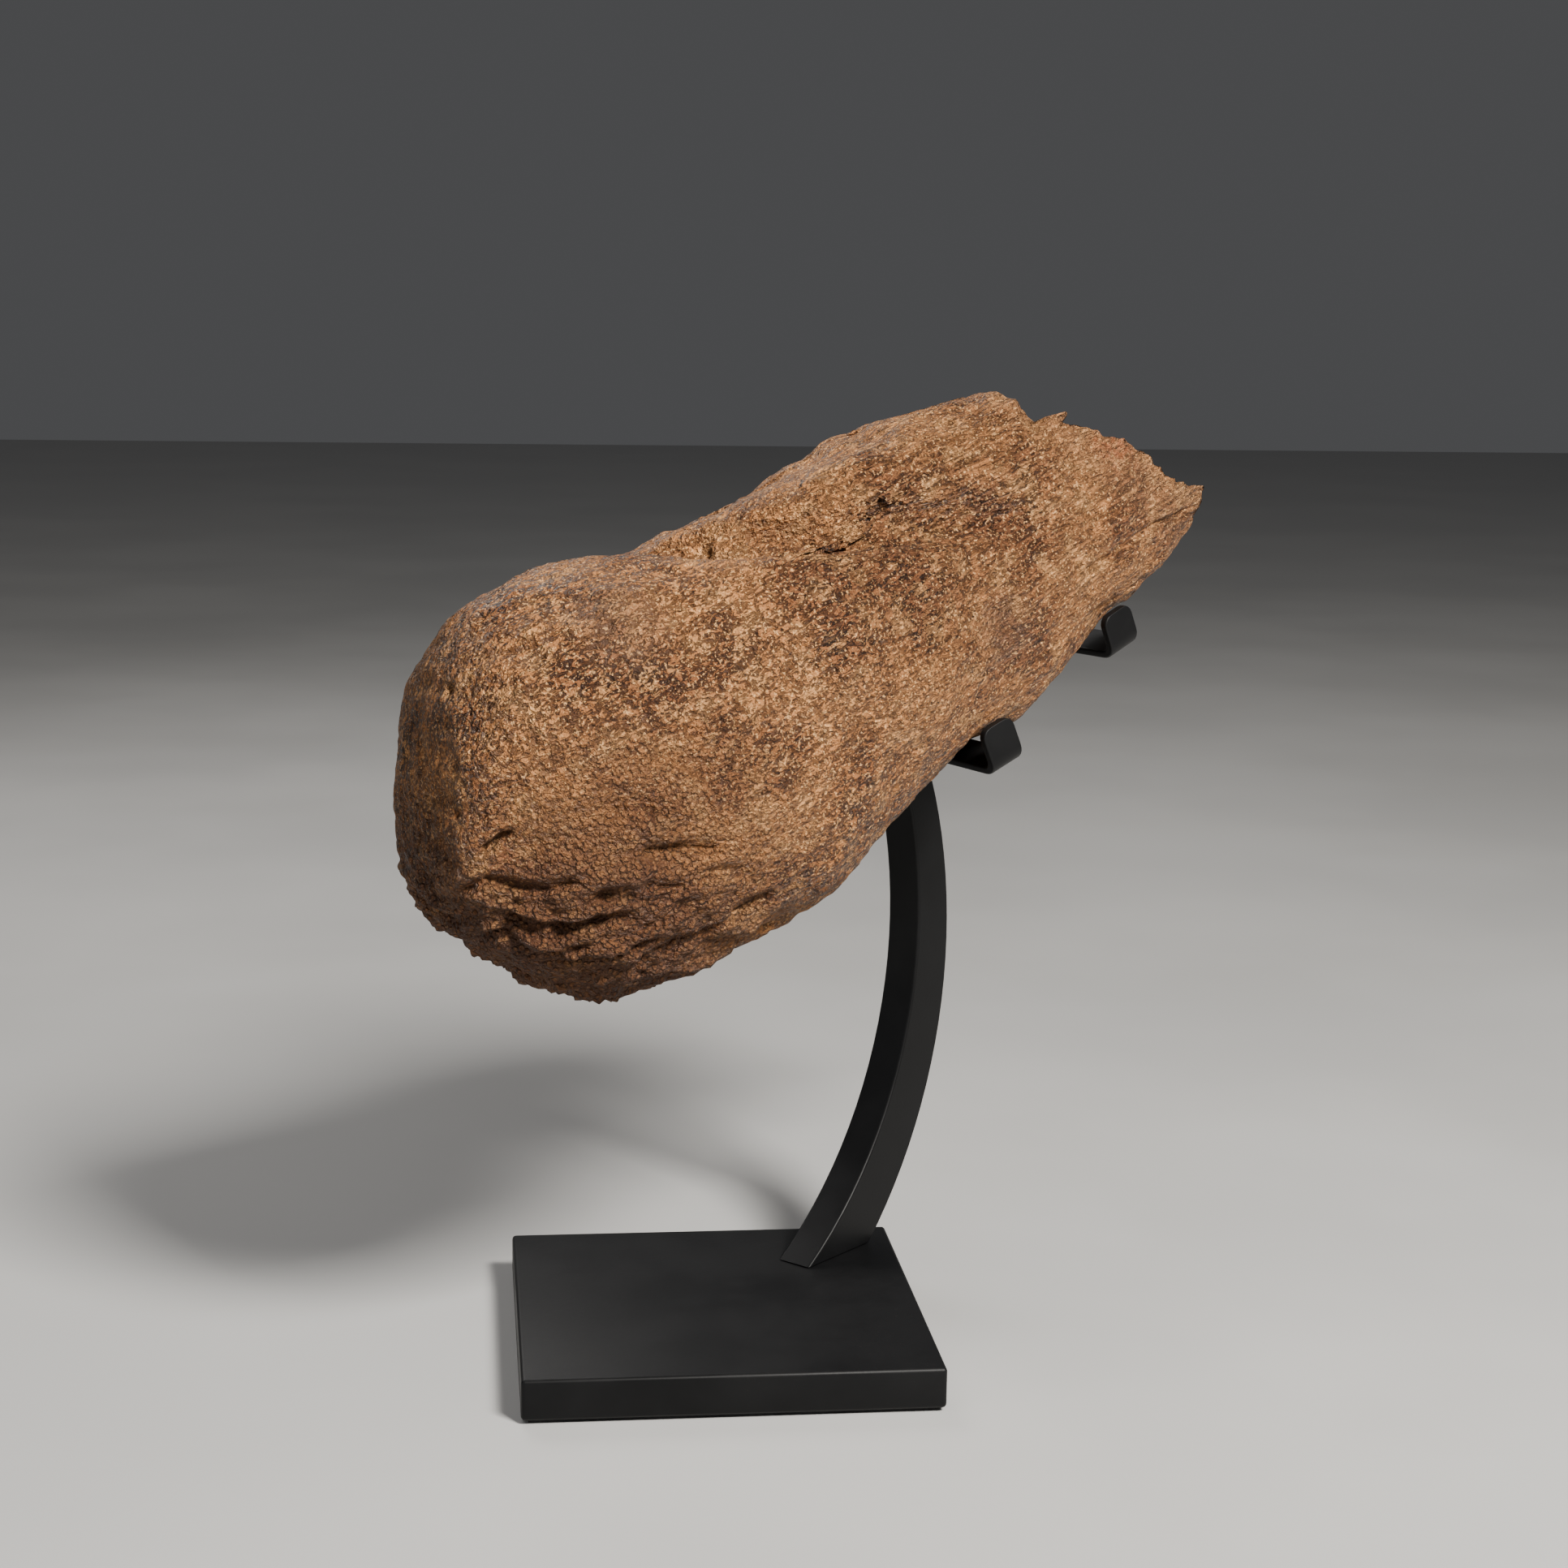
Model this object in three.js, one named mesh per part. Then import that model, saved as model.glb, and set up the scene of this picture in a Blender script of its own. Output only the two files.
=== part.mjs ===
// A fossil Triceratops nose horn lying in the hooks of a black steel display stand.
// Millimetres, +Z up. The origin is the middle of the stand's underside.
import * as THREE from "three";
import { ImprovedNoise } from "three/addons/math/ImprovedNoise.js";

// ---- Driving dimensions: stand -------------------------------------------------------------

const FIT_GAP = 0.3;                 // air left between pieces that touch
const PLATE_SIDE = 127;              // square base plate
const PLATE_THICK = 12.7;
const PLATE_ROUND = 1.3;             // rounding of every plate edge
const PAD_THICK = 1.2;               // soft pad glued under the plate
const PAD_INSET = 2;
const PAD_ROUND = 0.2;
const PLATE_TOP = PAD_THICK + PLATE_THICK;

// The arm stands over the plate's diagonal. "out" runs from the plate's middle towards its back
// right corner. Its concave and convex edges are arcs, each with its own centre.
const DIAGONAL = THREE.MathUtils.degToRad(45);
const ARM_THICK = 12.7;
const ARM_EDGE = 1;
const ARM_INNER = { out: -31.2, height: 120.9, radius: 127.9, topAngle: 30 };
const ARM_OUTER = { out: -27.1, height: 113.7, radius: 141.1, topAngle: 32 };
const ARM_STEPS = 26;

const STRIP_WIDE = 12.7;             // flat stock of the hooks
const STRIP_THICK = 2.8;
const STRIP_EDGE = 0.7;
const HOOK_BEND = 4.2;               // bend radius at the middle of the stock
const TAB_ROUND = 3.4;               // rounded corners of a hook's tab
const TAB_STOPS = [TAB_ROUND, 2.3, 1.3, 0.6, 0.2];   // distances from the tab's top, for its corners

// out, height: where the strip leaves the cross bar. swing: its heading in plan, clockwise from +X.
// tilt: how far the strip leans with the horn's lower edge. reach: root to the tab's face.
const LOWER_HOOK = { out: 89.7, height: 183.2, swing: 64, tilt: 24, reach: 45.6, tab: 16 };
const UPPER_HOOK = { out: 143.7, height: 215.5, swing: 59, tilt: 24, reach: 51.6, tab: 15 };

const BAR_THICK = 6;                 // cross bar, flat on the arm's front face
const BAR_PAST_LOWER = 10;           // how far it runs past each hook's middle
const BAR_PAST_UPPER = 8;

// The rear prong reaches from the arm's concave edge to the underside of the horn's thick end.
const PRONG_THICK = 5;
const PRONG_ROOT_ANGLE = 24;         // its place on the arm's concave arc
const PRONG_TIP = { x: -40, angle: 236, corner: 5 };
const PRONG_PULL = 30;               // how far it keeps each end's heading
const PRONG_STEPS = 14;
const PRONG_CLEAR = 0.9;             // air between its tip and the horn at the tip's middle

// ---- Driving dimensions: horn ----------------------------------------------------------------

// The horn's own frame: x runs along it towards the broken end, y towards its back, z up.
const HORN_PLACE = [11, 9, 208];
const HORN_YAW = THREE.MathUtils.degToRad(26);
const HORN_RISE = THREE.MathUtils.degToRad(25);
const HORN_LEAN = THREE.MathUtils.degToRad(8);

const THICK_END = -133;              // x of the rounded thick end
const DOME_DEPTH = 62;               // length over which that end rounds off
const DOME_POWER = 2.3;
const DOME_MIDDLE = { y: 0, z: 2 };
const SECTION_POWER = 2.25;          // 2 is an ellipse, more is squarer

// Sections: x, then how far the skin reaches up, down, to the front and to the back.
const SECTIONS = [
  [-133, 58, 56, 42, 38],
  [-100, 62, 60, 44, 40],
  [-70, 68, 63, 47, 42],
  [-40, 65.5, 66, 48, 40],
  [-10, 55, 65, 46, 38],
  [20, 52.5, 56.5, 43, 37],
  [50, 52.5, 51.5, 38, 34],
  [80, 51.5, 53, 32, 30],
  [110, 47, 43, 27, 26],
  [140, 42, 38, 22, 22],
  [190, 34, 24, 15, 18],
];

// The broken end's rim, as x and height above the horn's middle line: down the front, then on
// down and up the back.
const RIM_FRONT = [
  [101, 49.5], [111, 47.5], [118, 43.5], [119, 32], [126, 30], [133.5, 29.5], [137, 21],
  [141.5, 15.5], [149.5, 10.5], [154, 3], [158, -4.5], [161.5, -10.5], [173.5, -17], [168, -25.5],
];
const RIM_BACK = [[150, -27], [134, -12], [140, 4], [126, 14], [121, 27], [108, 38], [104, 47]];
const RIM_MIDDLE_X = 118;            // how deep the broken face lies at its middle
const CORE_RINGS = [0.86, 0.7, 0.5, 0.27];

// Flats worn on the thick end: outward direction and distance from the horn's middle.
const WORN_FLATS = [
  { toward: [-0.87, 0, -0.49], distance: 113.5 },
  { toward: [-0.88, 0, 0.48], distance: 110 },
];
const FLAT_SOFTNESS = 4;
const FLAT_WEAR = 0.85;              // 1 is a true flat, 0 leaves the round end as it was

// The crease under the back ridge: x and angle round the section (0 is the front, 90 the top).
const CREASE = [[-30, 100], [-8, 80], [26, 47], [51, 33], [92, 12]];
const CREASE_DEPTH = 5;
const CREASE_HALF = 13;

// Swellings and hollows: x, angle round the section, half size in mm, height in mm.
const LUMPS = [
  [12, 12, 34, 3.5], [-84, 40, 34, 2], [-52, -14, 26, 2.5], [36, -20, 26, 2.5], [-34, 36, 20, -2.5],
  [-106, 2, 16, -3.5], [-20, -46, 26, 3], [72, -16, 24, -2], [104, 40, 26, 2], [-100, -32, 22, 3],
  [60, 92, 40, 3], [-70, 150, 36, 4], [0, 176, 32, -3], [46, 150, 30, 3], [-30, 208, 34, 3.5],
  [84, 190, 28, -3], [-108, 178, 26, 4], [-60, 110, 26, -2], [57, -72, 18, -2.4], [118, -60, 16, -2.4],
  [-10, 240, 30, -3.2], [50, 222, 24, -2.5],
];

// Ledges of spongy bone on the thick end: x, angle, half length, height, depth in mm.
const LEDGES = [
  [-111, 7, 13, 5, 5.5], [-112, -4, 17, 4.5, 4], [-109, -21, 19, 5, 4.5], [-62, -17, 15, 4, 3],
  [-84, -26, 18, 4, 3], [-92, -46, 20, 5, 3.5], [-112, 160, 20, 5, 4], [-100, 214, 22, 5, 4],
];

const ROUGH_SIZE = 17;               // grain of the overall lumpiness
const ROUGH_HEIGHT = 1.1;
const ROUGH_EXTRA = 1.5;             // added towards the thick end's lower side
const CORE_ROUGH = 3;
const COLUMNS_APART = 4.6;           // degrees between columns round the skin
const RINGS = 44;

// ---- Shared helpers ---------------------------------------------------------------------------

const rad = THREE.MathUtils.degToRad;
const deg = THREE.MathUtils.radToDeg;
const noise = new ImprovedNoise();

const steel = (name) => new THREE.MeshStandardMaterial({ name, color: 0x17181a, roughness: 0.5, metalness: 0.3 });
const felt = new THREE.MeshStandardMaterial({ name: "felt", color: 0x101010, roughness: 0.95, metalness: 0 });
const fossil = new THREE.MeshStandardMaterial({ name: "fossil", color: 0x8a6240, roughness: 0.6, metalness: 0 });

// Smooth curve through rows of [x, value, ...], read at x for one column.
function readAt(rows, x, column) {
  const last = rows.length - 1;
  const at = THREE.MathUtils.clamp(x, rows[0][0], rows[last][0]);
  let i = 0;
  while (i < last - 1 && rows[i + 1][0] < at) i++;
  const slope = (k) => {
    const a = rows[Math.max(k - 1, 0)], b = rows[Math.min(k + 1, last)];
    return (b[column] - a[column]) / (b[0] - a[0]);
  };
  const width = rows[i + 1][0] - rows[i][0];
  const t = (at - rows[i][0]) / width;
  const t2 = t * t, t3 = t2 * t;
  return (2 * t3 - 3 * t2 + 1) * rows[i][column] + (t3 - 2 * t2 + t) * width * slope(i)
    + (3 * t2 - 2 * t3) * rows[i + 1][column] + (t3 - t2) * width * slope(i + 1);
}

// Wraps a skin over rings of equal point counts and closes both ends with a fan.
function skin(rings) {
  const count = rings[0].length;
  const points = rings.flat();
  const faces = [];
  for (let i = 0; i + 1 < rings.length; i++) {
    for (let j = 0; j < count; j++) {
      const here = i * count, k = (j + 1) % count;
      faces.push(here + j, here + k, here + count + k, here + j, here + count + k, here + count + j);
    }
  }
  for (const [ring, start, turn] of [[rings[0], 0, 1], [rings.at(-1), (rings.length - 1) * count, 0]]) {
    const middle = points.length;
    points.push(ring.reduce((sum, p) => sum.add(p), new THREE.Vector3()).divideScalar(count));
    for (let j = 0; j < count; j++) {
      const a = start + j, b = start + (j + 1) % count;
      faces.push(middle, turn ? b : a, turn ? a : b);
    }
  }
  const normal = new THREE.Vector3();
  let volume = 0;
  for (let f = 0; f < faces.length; f += 3) {
    const [a, b, c] = faces.slice(f, f + 3).map((index) => points[index]);
    volume += normal.copy(b).cross(c).dot(a);
  }
  if (volume < 0) faces.reverse();
  const geometry = new THREE.BufferGeometry().setFromPoints(points);
  geometry.setIndex(faces);
  geometry.computeVertexNormals();
  return geometry;
}

// Outline of a flat bar with rounded edges, as [across, through] pairs.
function barOutline(halfWide, halfThick, round) {
  const outline = [];
  [[1, 1, 0], [-1, 1, 90], [-1, -1, 180], [1, -1, 270]].forEach(([sideA, sideB, start]) => {
    for (const turn of [0, 45, 90]) {
      const angle = rad(start + turn);
      outline.push([
        sideA * (halfWide - round) + round * Math.cos(angle),
        sideB * (halfThick - round) + round * Math.sin(angle),
      ]);
    }
  });
  return outline;
}

// A bar swept through stops {at, across, through, halfWide}, each a place with two directions.
function barRings(stops, halfThick, round) {
  return stops.map(({ at, across, through, halfWide }) =>
    barOutline(halfWide, halfThick, Math.min(round, halfWide * 0.9)).map(([a, b]) =>
      at.clone().addScaledVector(across, a).addScaledVector(through, b)));
}

const sweptBar = (stops, halfThick, round) => skin(barRings(stops, halfThick, round));

// Half width of a strip whose end has rounded corners, at a distance from that end.
function roundedHalf(halfWide, corner, fromEnd) {
  const into = Math.max(corner - fromEnd, 0);
  return halfWide - corner + Math.sqrt(Math.max(corner * corner - into * into, 0));
}

function slab(side, thick, round, material, name) {
  const half = side / 2 - round;
  const outline = new THREE.Shape();
  outline.moveTo(-half, -half);
  outline.lineTo(half, -half);
  outline.lineTo(half, half);
  outline.lineTo(-half, half);
  outline.closePath();
  const geometry = new THREE.ExtrudeGeometry(outline, {
    depth: thick - 2 * round, bevelThickness: round, bevelSize: round, bevelSegments: 3, curveSegments: 4,
  });
  geometry.translate(0, 0, round);
  const mesh = new THREE.Mesh(geometry, material);
  mesh.name = name;
  return mesh;
}

// ---- Stand --------------------------------------------------------------------------------------

function basePlate() {
  const plate = slab(PLATE_SIDE, PLATE_THICK, PLATE_ROUND, steel("plate_steel"), "base_plate");
  plate.position.z = PAD_THICK;
  return plate;
}

function feltPad() {
  return slab(PLATE_SIDE - 2 * PAD_INSET, PAD_THICK, PAD_ROUND, felt, "felt_pad");
}

function armPoint(arc, angle) {
  return new THREE.Vector3(arc.out + arc.radius * Math.cos(angle), 0, arc.height + arc.radius * Math.sin(angle));
}

function arm() {
  const foot = PLATE_TOP + FIT_GAP;
  const start = (arc) => Math.asin((foot - arc.height) / arc.radius);
  const stops = [];
  for (let i = 0; i <= ARM_STEPS; i++) {
    const part = i / ARM_STEPS;
    const inner = armPoint(ARM_INNER, THREE.MathUtils.lerp(start(ARM_INNER), rad(ARM_INNER.topAngle), part));
    const outer = armPoint(ARM_OUTER, THREE.MathUtils.lerp(start(ARM_OUTER), rad(ARM_OUTER.topAngle), part));
    stops.push({
      at: inner.clone().add(outer).multiplyScalar(0.5),
      across: outer.clone().sub(inner).normalize(),
      through: new THREE.Vector3(0, -1, 0),
      halfWide: inner.distanceTo(outer) / 2,
    });
  }
  const mesh = new THREE.Mesh(sweptBar(stops, ARM_THICK / 2, ARM_EDGE), steel("arm_steel"));
  mesh.name = "arm";
  mesh.rotation.z = DIAGONAL;
  return mesh;
}

// The cross bar's front face: how far it stands before the diagonal, and a place on it.
const BAR_FACE = ARM_THICK / 2 + FIT_GAP + BAR_THICK;
const BAR_OUTWARD = new THREE.Vector3(Math.sin(DIAGONAL), -Math.cos(DIAGONAL), 0);

function onBar({ out, height }) {
  return new THREE.Vector3(out, -BAR_FACE, height).applyAxisAngle(new THREE.Vector3(0, 0, 1), DIAGONAL);
}

// Directions of a hook: forward along its strip, across its width, and up through its thickness.
function hookFrame({ swing, tilt }) {
  const forward = new THREE.Vector3(Math.cos(rad(swing)), -Math.sin(rad(swing)), 0);
  const level = new THREE.Vector3(Math.sin(rad(swing)), Math.cos(rad(swing)), 0);
  const across = level.multiplyScalar(Math.cos(rad(tilt))).add(new THREE.Vector3(0, 0, Math.sin(rad(tilt))));
  return { forward, across, up: forward.clone().cross(across) };
}

function hook(spec, name) {
  const { forward, across, up } = hookFrame(spec);
  const half = STRIP_WIDE / 2;
  const straight = spec.reach - STRIP_THICK / 2 - HOOK_BEND;
  const stops = [[0, 0, 0], [straight / 2, 0, 0]];
  for (let i = 0; i <= 6; i++) {
    const turn = rad(15 * i);
    stops.push([straight + HOOK_BEND * Math.sin(turn), HOOK_BEND * (1 - Math.cos(turn)), turn]);
  }
  const tabTop = spec.tab - STRIP_THICK / 2;
  for (const fromTop of TAB_STOPS) {
    stops.push([straight + HOOK_BEND, tabTop - fromTop, rad(90)]);
  }
  stops.push([straight + HOOK_BEND, tabTop, rad(90)]);
  const root = onBar(spec);
  const placed = stops.map(([ahead, high, turn]) => ({
    at: root.clone().addScaledVector(forward, ahead).addScaledVector(up, high),
    across,
    through: up.clone().multiplyScalar(Math.cos(turn)).addScaledVector(forward, -Math.sin(turn)),
    halfWide: turn < rad(90) ? half : roundedHalf(half, TAB_ROUND, tabTop - high),
  }));
  const rings = barRings(placed, STRIP_THICK / 2, STRIP_EDGE);
  // The root is cut on the slant, so that it lies flat against the cross bar.
  for (const point of rings[0]) {
    const short = BAR_FACE + FIT_GAP - point.dot(BAR_OUTWARD);
    point.addScaledVector(forward, short / forward.dot(BAR_OUTWARD));
  }
  const mesh = new THREE.Mesh(skin(rings), steel("hook_steel"));
  mesh.name = name;
  return mesh;
}

function crossBar() {
  const lower = onBar(LOWER_HOOK);
  const upper = onBar(UPPER_HOOK);
  const run = upper.clone().sub(lower).normalize();
  const across = BAR_OUTWARD.clone().cross(run).normalize();
  const through = run.clone().cross(across).normalize().negate();
  const ends = [lower.addScaledVector(run, -BAR_PAST_LOWER), upper.addScaledVector(run, BAR_PAST_UPPER)];
  const stops = ends.map((end) => ({
    at: end.addScaledVector(BAR_OUTWARD, -BAR_THICK / 2), across, through, halfWide: STRIP_WIDE / 2,
  }));
  const mesh = new THREE.Mesh(sweptBar(stops, BAR_THICK / 2, STRIP_EDGE), steel("bar_steel"));
  mesh.name = "cross_bar";
  return mesh;
}

// ---- Horn ---------------------------------------------------------------------------------------

const power = (value, exponent) => Math.sign(value) * Math.abs(value) ** exponent;

// The plain horn, before any relief: a squared ellipse that rounds off at the thick end.
function plainSkin(x, angle) {
  const [up, down, front, back] = [1, 2, 3, 4].map((column) => readAt(SECTIONS, x, column));
  const cos = Math.cos(angle), sin = Math.sin(angle);
  const y = -power(cos, 2 / SECTION_POWER) * (cos > 0 ? front : back);
  const z = power(sin, 2 / SECTION_POWER) * (sin > 0 ? up : down);
  const into = THREE.MathUtils.clamp((THICK_END + DOME_DEPTH - x) / DOME_DEPTH, 0, 1);
  const size = (1 - into ** DOME_POWER) ** (1 / DOME_POWER);
  return new THREE.Vector3(x, DOME_MIDDLE.y + (y - DOME_MIDDLE.y) * size, DOME_MIDDLE.z + (z - DOME_MIDDLE.z) * size);
}

// The angle round the section at which the front or the back of the skin has a given height.
function angleAt(x, height, atBack) {
  const reach = readAt(SECTIONS, x, height > 0 ? 1 : 2);
  const sin = power(THREE.MathUtils.clamp(height / reach, -1, 1), SECTION_POWER / 2);
  return atBack ? Math.PI - Math.asin(sin) : Math.asin(sin);
}

const hump = (distance) => Math.exp(-2.5 * distance * distance);
const turnBetween = (a, b) => Math.atan2(Math.sin(a - b), Math.cos(a - b));

// Distance from a skin point to a spot given by its x and angle, split along and round the horn.
function awayFrom(point, angle, x, spotAngle) {
  const radius = Math.hypot(point.y, point.z);
  return { along: point.x - x, round: turnBetween(angle, rad(spotAngle)) * radius };
}

function creaseRelief(point, angle) {
  if (point.x < CREASE[0][0] - 20 || point.x > CREASE.at(-1)[0] + 25) return 0;
  const { round } = awayFrom(point, angle, point.x, readAt(CREASE, point.x, 1));
  const before = THREE.MathUtils.smoothstep(point.x, CREASE[0][0] - 20, CREASE[1][0] + 12);
  const after = 1 - THREE.MathUtils.smoothstep(point.x, CREASE.at(-2)[0], CREASE.at(-1)[0] + 25);
  const ridge = 0.6 * hump((round - 1.9 * CREASE_HALF) / (1.3 * CREASE_HALF));
  return CREASE_DEPTH * before * after * (ridge - hump(round / CREASE_HALF));
}

function reliefAt(point, angle) {
  let relief = creaseRelief(point, angle);
  for (const [x, spot, half, height] of LUMPS) {
    const { along, round } = awayFrom(point, angle, x, spot);
    relief += height * hump(Math.hypot(along, round) / half);
  }
  for (const [x, spot, halfLong, tall, depth] of LEDGES) {
    const { along, round } = awayFrom(point, angle, x, spot);
    relief -= depth * hump(along / halfLong) * hump(round / tall);
  }
  const low = THREE.MathUtils.smoothstep(-point.x, 10, 95) * THREE.MathUtils.smoothstep(-point.z, -45, 35);
  const [u, v, w] = [point.x, point.y, point.z].map((value) => value / ROUGH_SIZE);
  const lumpy = noise.noise(u * 0.8, v, w * 1.3) + 0.5 * noise.noise(u * 1.9 + 7, v * 2, w * 2.6);
  return relief + (ROUGH_HEIGHT + ROUGH_EXTRA * low) * 1.6 * lumpy;
}

function hornSkin(x, angle) {
  const point = plainSkin(x, angle);
  const outward = new THREE.Vector3(0, point.y - DOME_MIDDLE.y, point.z - DOME_MIDDLE.z);
  const radius = outward.length();
  const fade = THREE.MathUtils.smoothstep(radius, 0, 22);
  outward.normalize().multiplyScalar(fade).add(new THREE.Vector3(fade - 1, 0, 0)).normalize();
  point.addScaledVector(outward, reliefAt(point, angle));
  for (const { toward, distance } of WORN_FLATS) {
    const normal = new THREE.Vector3(...toward).normalize();
    const past = point.dot(normal) - distance;
    const soft = FLAT_SOFTNESS * Math.log1p(Math.exp(past / FLAT_SOFTNESS));
    point.addScaledVector(normal, -FLAT_WEAR * soft);
  }
  return point;
}

// Columns round the horn: one through every corner of the rim, and more between them.
function hornColumns() {
  const corner = (atBack) => ([x, height]) => ({ x, angle: angleAt(x, height, atBack) });
  const rim = [...RIM_FRONT.map(corner(false)), ...RIM_BACK.map(corner(true))];
  rim.forEach((spot) => { spot.angle = (spot.angle + 1.5 * Math.PI) % (2 * Math.PI); });
  rim.sort((a, b) => b.angle - a.angle);
  const columns = [];
  rim.forEach((from, i) => {
    const next = rim[(i + 1) % rim.length];
    const span = (from.angle - next.angle + 2 * Math.PI) % (2 * Math.PI);
    const count = Math.max(1, Math.round(deg(span) / COLUMNS_APART));
    for (let k = 0; k < count; k++) {
      const part = k / count;
      columns.push({ x: THREE.MathUtils.lerp(from.x, next.x, part), angle: from.angle - span * part + 0.5 * Math.PI });
    }
  });
  return columns;
}

function horn() {
  const columns = hornColumns();
  const rings = [];
  for (let i = 0; i <= RINGS; i++) {
    const part = (i + 0.6) / (RINGS + 0.6);
    const eased = part < 0.3 ? 0.3 * (part / 0.3) ** 1.8 : part;
    rings.push(columns.map(({ x, angle }) => hornSkin(THREE.MathUtils.lerp(THICK_END, x, eased), angle)));
  }
  const rim = rings.at(-1);
  const middle = rim.reduce((sum, p) => sum.add(p), new THREE.Vector3()).divideScalar(rim.length);
  for (const size of CORE_RINGS) {
    const sunk = 1 - size ** 1.6;
    rings.push(rim.map((edge) => {
      const point = middle.clone().lerp(edge, size);
      point.x = THREE.MathUtils.lerp(edge.x, RIM_MIDDLE_X, Math.min(1, 1.15 * sunk));
      point.x += CORE_ROUGH * noise.noise(point.y / 7, point.z / 7, 3.3);
      return point;
    }));
  }
  const mesh = placeHorn(new THREE.Mesh(skin(rings), fossil));
  mesh.name = "horn";
  return mesh;
}

function placeHorn(mesh) {
  mesh.position.set(...HORN_PLACE);
  mesh.rotation.set(-HORN_LEAN, -HORN_RISE, HORN_YAW, "ZYX");
  mesh.updateMatrixWorld();
  return mesh;
}

function rearProng() {
  const hornFrame = placeHorn(new THREE.Object3D()).matrixWorld;
  const turn = rad(PRONG_ROOT_ANGLE);
  const upright = new THREE.Vector3(0, 0, 1);
  const leave = new THREE.Vector3(-Math.cos(turn), 0, -Math.sin(turn)).applyAxisAngle(upright, DIAGONAL);
  const root = armPoint(ARM_INNER, turn).applyAxisAngle(upright, DIAGONAL).addScaledVector(leave, FIT_GAP);
  const rootAcross = new THREE.Vector3(0, -1, 0).applyAxisAngle(upright, DIAGONAL);

  const angle = rad(PRONG_TIP.angle), small = 0.05;
  const touch = hornSkin(PRONG_TIP.x, angle);
  const round = hornSkin(PRONG_TIP.x, angle + small).sub(hornSkin(PRONG_TIP.x, angle - small)).normalize();
  const alongHorn = hornSkin(PRONG_TIP.x - 8, angle).sub(hornSkin(PRONG_TIP.x + 8, angle)).normalize();
  const outward = round.clone().cross(alongHorn).normalize();
  if (outward.dot(touch) < 0) outward.negate();
  const tip = touch.addScaledVector(outward, PRONG_CLEAR + PRONG_THICK / 2).applyMatrix4(hornFrame);
  const arrive = alongHorn.transformDirection(hornFrame);
  const tipAcross = round.transformDirection(hornFrame);
  if (tipAcross.dot(rootAcross) < 0) tipAcross.negate();

  const path = new THREE.CubicBezierCurve3(
    root, root.clone().addScaledVector(leave, PRONG_PULL), tip.clone().addScaledVector(arrive, -PRONG_PULL), tip);
  const length = path.getLength();
  const stops = [];
  for (let i = 0; i <= PRONG_STEPS; i++) {
    const part = i / PRONG_STEPS;
    const run = path.getTangentAt(part);
    const across = rootAcross.clone().lerp(tipAcross, part);
    across.addScaledVector(run, -across.dot(run)).normalize();
    stops.push({
      at: path.getPointAt(part), across, through: run.clone().cross(across),
      halfWide: roundedHalf(STRIP_WIDE / 2, PRONG_TIP.corner, length * (1 - part)),
    });
  }
  const mesh = new THREE.Mesh(sweptBar(stops, PRONG_THICK / 2, STRIP_EDGE), steel("prong_steel"));
  mesh.name = "rear_prong";
  return mesh;
}

const object = new THREE.Group();
object.add(
  feltPad(), basePlate(), arm(), crossBar(), rearProng(),
  hook(LOWER_HOOK, "lower_hook"), hook(UPPER_HOOK, "upper_hook"), horn(),
);
export default object;
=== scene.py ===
"""A fossil Triceratops nose horn in its black steel display stand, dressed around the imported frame."""

import math

import bpy
import numpy as np
from mathutils import Euler, Matrix, Vector, noise
from mathutils.bvhtree import BVHTree


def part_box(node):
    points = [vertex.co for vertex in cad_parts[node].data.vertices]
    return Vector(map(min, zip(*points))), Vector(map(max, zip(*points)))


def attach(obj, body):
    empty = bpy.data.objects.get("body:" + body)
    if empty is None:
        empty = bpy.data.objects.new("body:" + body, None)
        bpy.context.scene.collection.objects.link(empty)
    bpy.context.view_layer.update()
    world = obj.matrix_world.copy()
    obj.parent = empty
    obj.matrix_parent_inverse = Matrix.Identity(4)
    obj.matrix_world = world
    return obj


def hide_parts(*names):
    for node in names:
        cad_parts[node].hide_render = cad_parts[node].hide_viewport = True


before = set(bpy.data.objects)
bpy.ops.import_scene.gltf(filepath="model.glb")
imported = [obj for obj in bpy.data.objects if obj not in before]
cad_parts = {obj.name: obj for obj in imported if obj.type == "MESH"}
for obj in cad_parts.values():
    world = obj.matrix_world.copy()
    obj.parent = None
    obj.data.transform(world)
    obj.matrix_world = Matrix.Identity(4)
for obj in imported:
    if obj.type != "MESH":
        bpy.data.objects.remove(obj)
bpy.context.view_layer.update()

bl_info = {
    "name": "Fossil horn on a stand",
    "version": (1, 0, 0),
    "blender": (4, 5, 0),
    "location": "View3D > Sidebar > Fossil horn",
    "description": "Models and paints a fossil Triceratops nose horn and its steel display stand",
    "category": "Object",
}

MM = 0.001

# The horn's own frame: x along it towards the broken end, y to its back, z up, in millimetres.
HORN_PLACE = Vector((11, 9, 208)) * MM
HORN_TURN = Euler((math.radians(-8), math.radians(-25), math.radians(26)), "XYZ")

# Sizes of the forms carved into the skin, in millimetres.
DRIFT_SIZE = 30                  # how the borders between kinds of skin wander
LUMP_SIZE = 9
SMALL_LUMP_SIZE = 5.2
GRAIN_SIZE = 2.9
STREAK_SIZE = (5, 2.2, 2.2)
FIBRE_SIZE = (17, 2.7, 2.7)
CELL_SIZE = 4.4                  # one grain of spongy bone
CLUMP_SIZE = 6.5                 # a group of such grains
STRATUM = 10.5                   # height from one ledge to the next
LEDGE_WAVE = 24                  # how the ledges rise and fall along the skin
LEDGE_RIPPLE = 8
CRUMB_SIZE = 7                   # on the broken face
SMALL_CRUMB_SIZE = 3.4

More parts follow.
